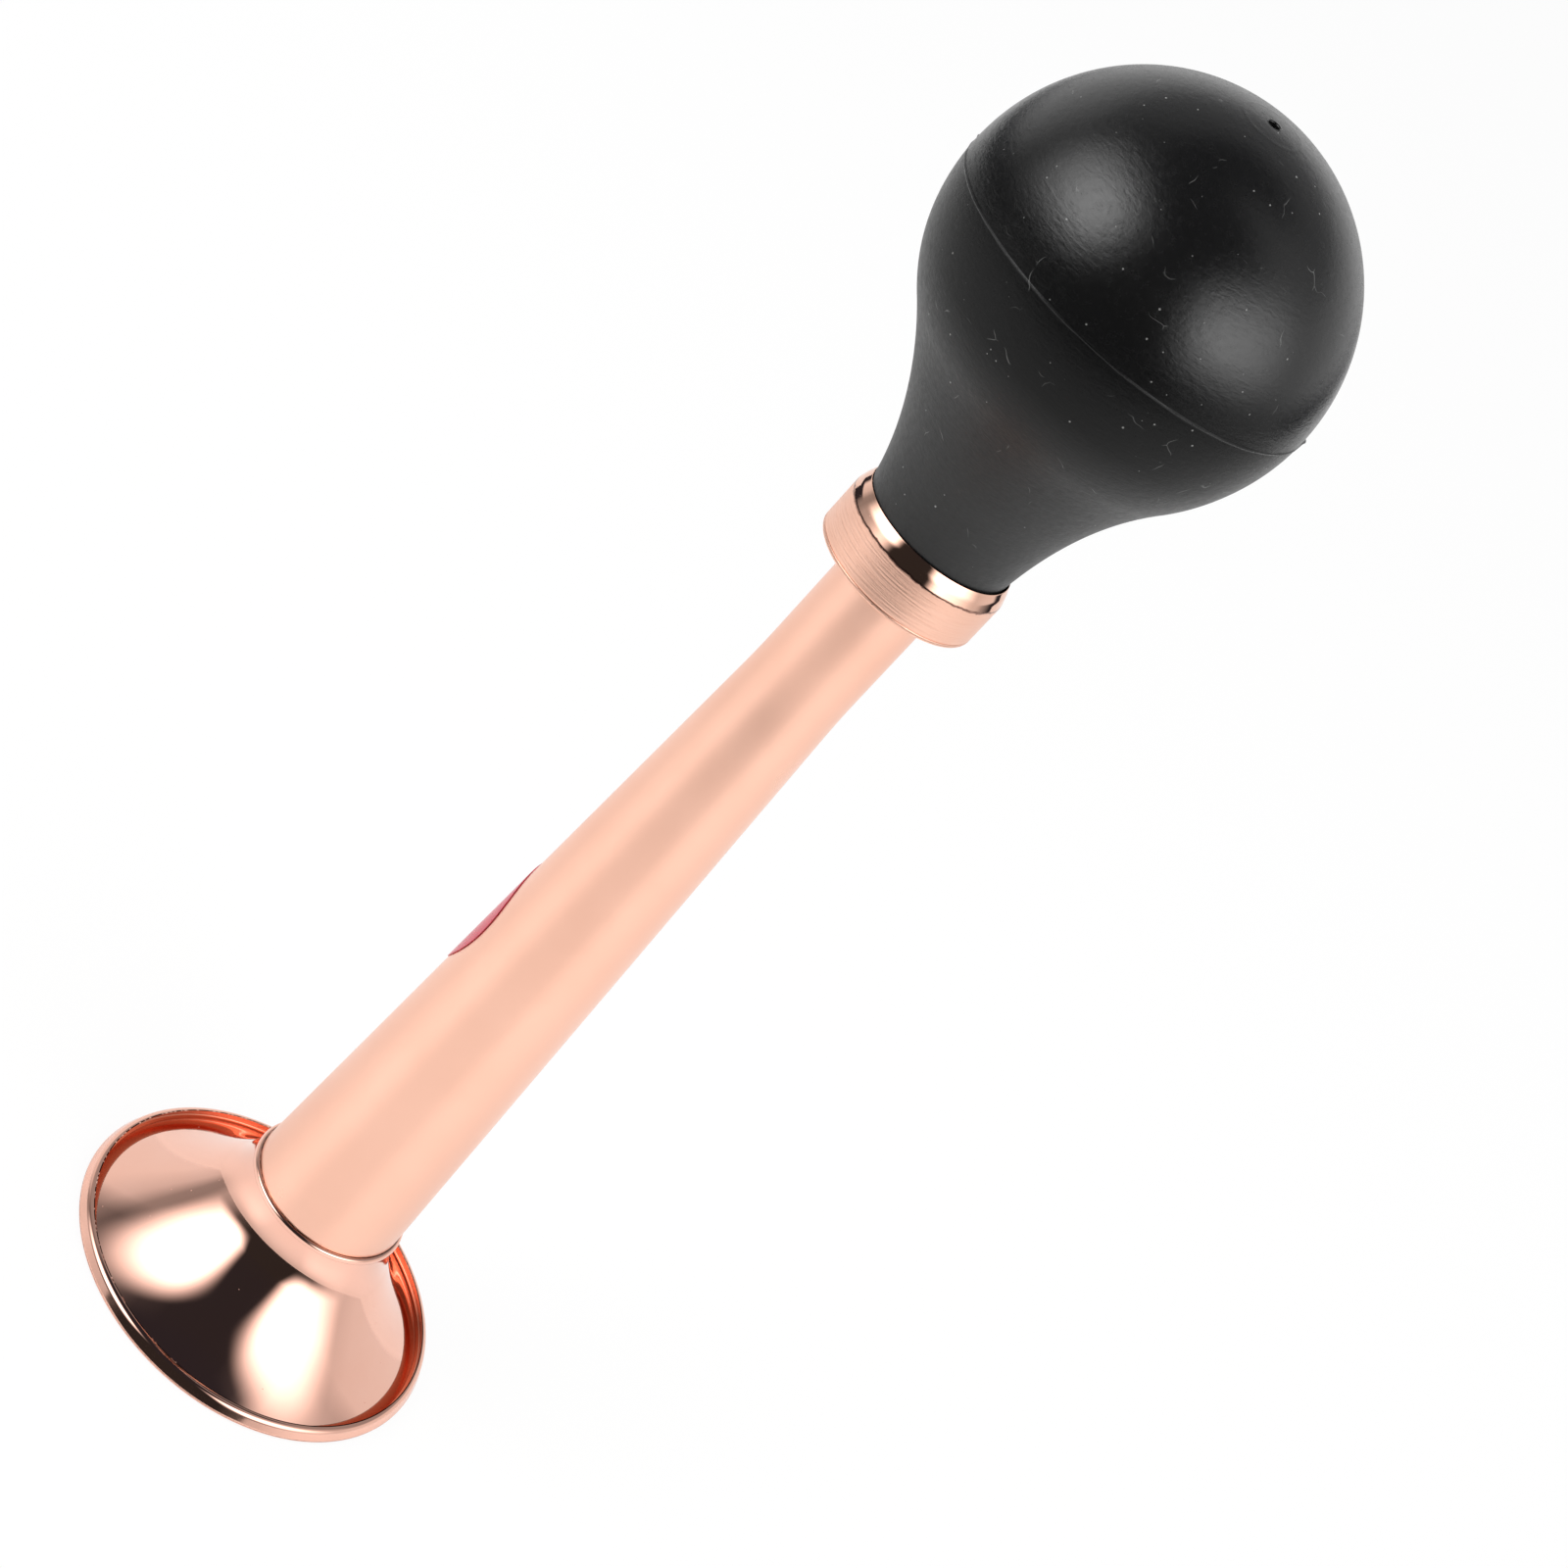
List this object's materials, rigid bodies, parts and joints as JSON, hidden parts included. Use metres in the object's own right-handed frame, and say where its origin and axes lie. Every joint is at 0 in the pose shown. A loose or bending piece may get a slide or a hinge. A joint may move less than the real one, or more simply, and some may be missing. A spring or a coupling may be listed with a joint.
{
  "type": "bulb horn",
  "caption": "Hand-squeezed bulb horn: a polished copper bell on a tapered tube, with a black rubber bulb held in a collar that blows a beating reed.",
  "frame": {"origin": "middle of the bell's mouth, on the plane of the rim that the horn stands on", "axes": "+Z along the horn from the mouth to the crown of the bulb; -Y is the side that faces the picture's camera; +X is to that camera's right when the horn stands"},
  "size_m": [0.0632, 0.0632, 0.2445],
  "materials": {
    "bell_copper": "copper plate polished to a mirror",
    "tube_copper": "satin copper plate",
    "collar_copper": "copper plate, brushed side and polished shoulder",
    "bulb_rubber": "matt moulded black rubber",
    "block_plastic": "moulded cream plastic",
    "reed_brass": "rolled brass sheet",
    "wedge_wood": "plain hardwood",
    "label_vinyl": "blank printed vinyl"
  },
  "bodies": {
    "horn": {"bell": "bell_copper", "horn_tube": "tube_copper", "collar_plate": "collar_copper", "collar": "collar_copper", "reed_block": "block_plastic", "shallot": "reed_brass", "reed_wedge": "wedge_wood", "label": "label_vinyl"},
    "bulb": {"rubber_bulb": "bulb_rubber"},
    "reed": {"reed_tongue": "reed_brass"}
  },
  "joints": [
    {"name": "bulb_squeeze", "type": "slide", "parent": "horn", "child": "bulb", "axis": [0, 0, -1], "range_m": [0, 0.014], "stiffness_N_per_m": 800, "springref_m": -0.001, "deforming": ["rubber_bulb"]},
    {"name": "reed_beat", "type": "hinge", "parent": "horn", "child": "reed", "pos_m": [0, 0.0007, 0.17325], "axis": [1, 0, 0], "range_deg": [-1.5, 2.4], "stiffness_Nm_per_rad": 0.05, "deforming": ["reed_tongue"]}
  ]
}
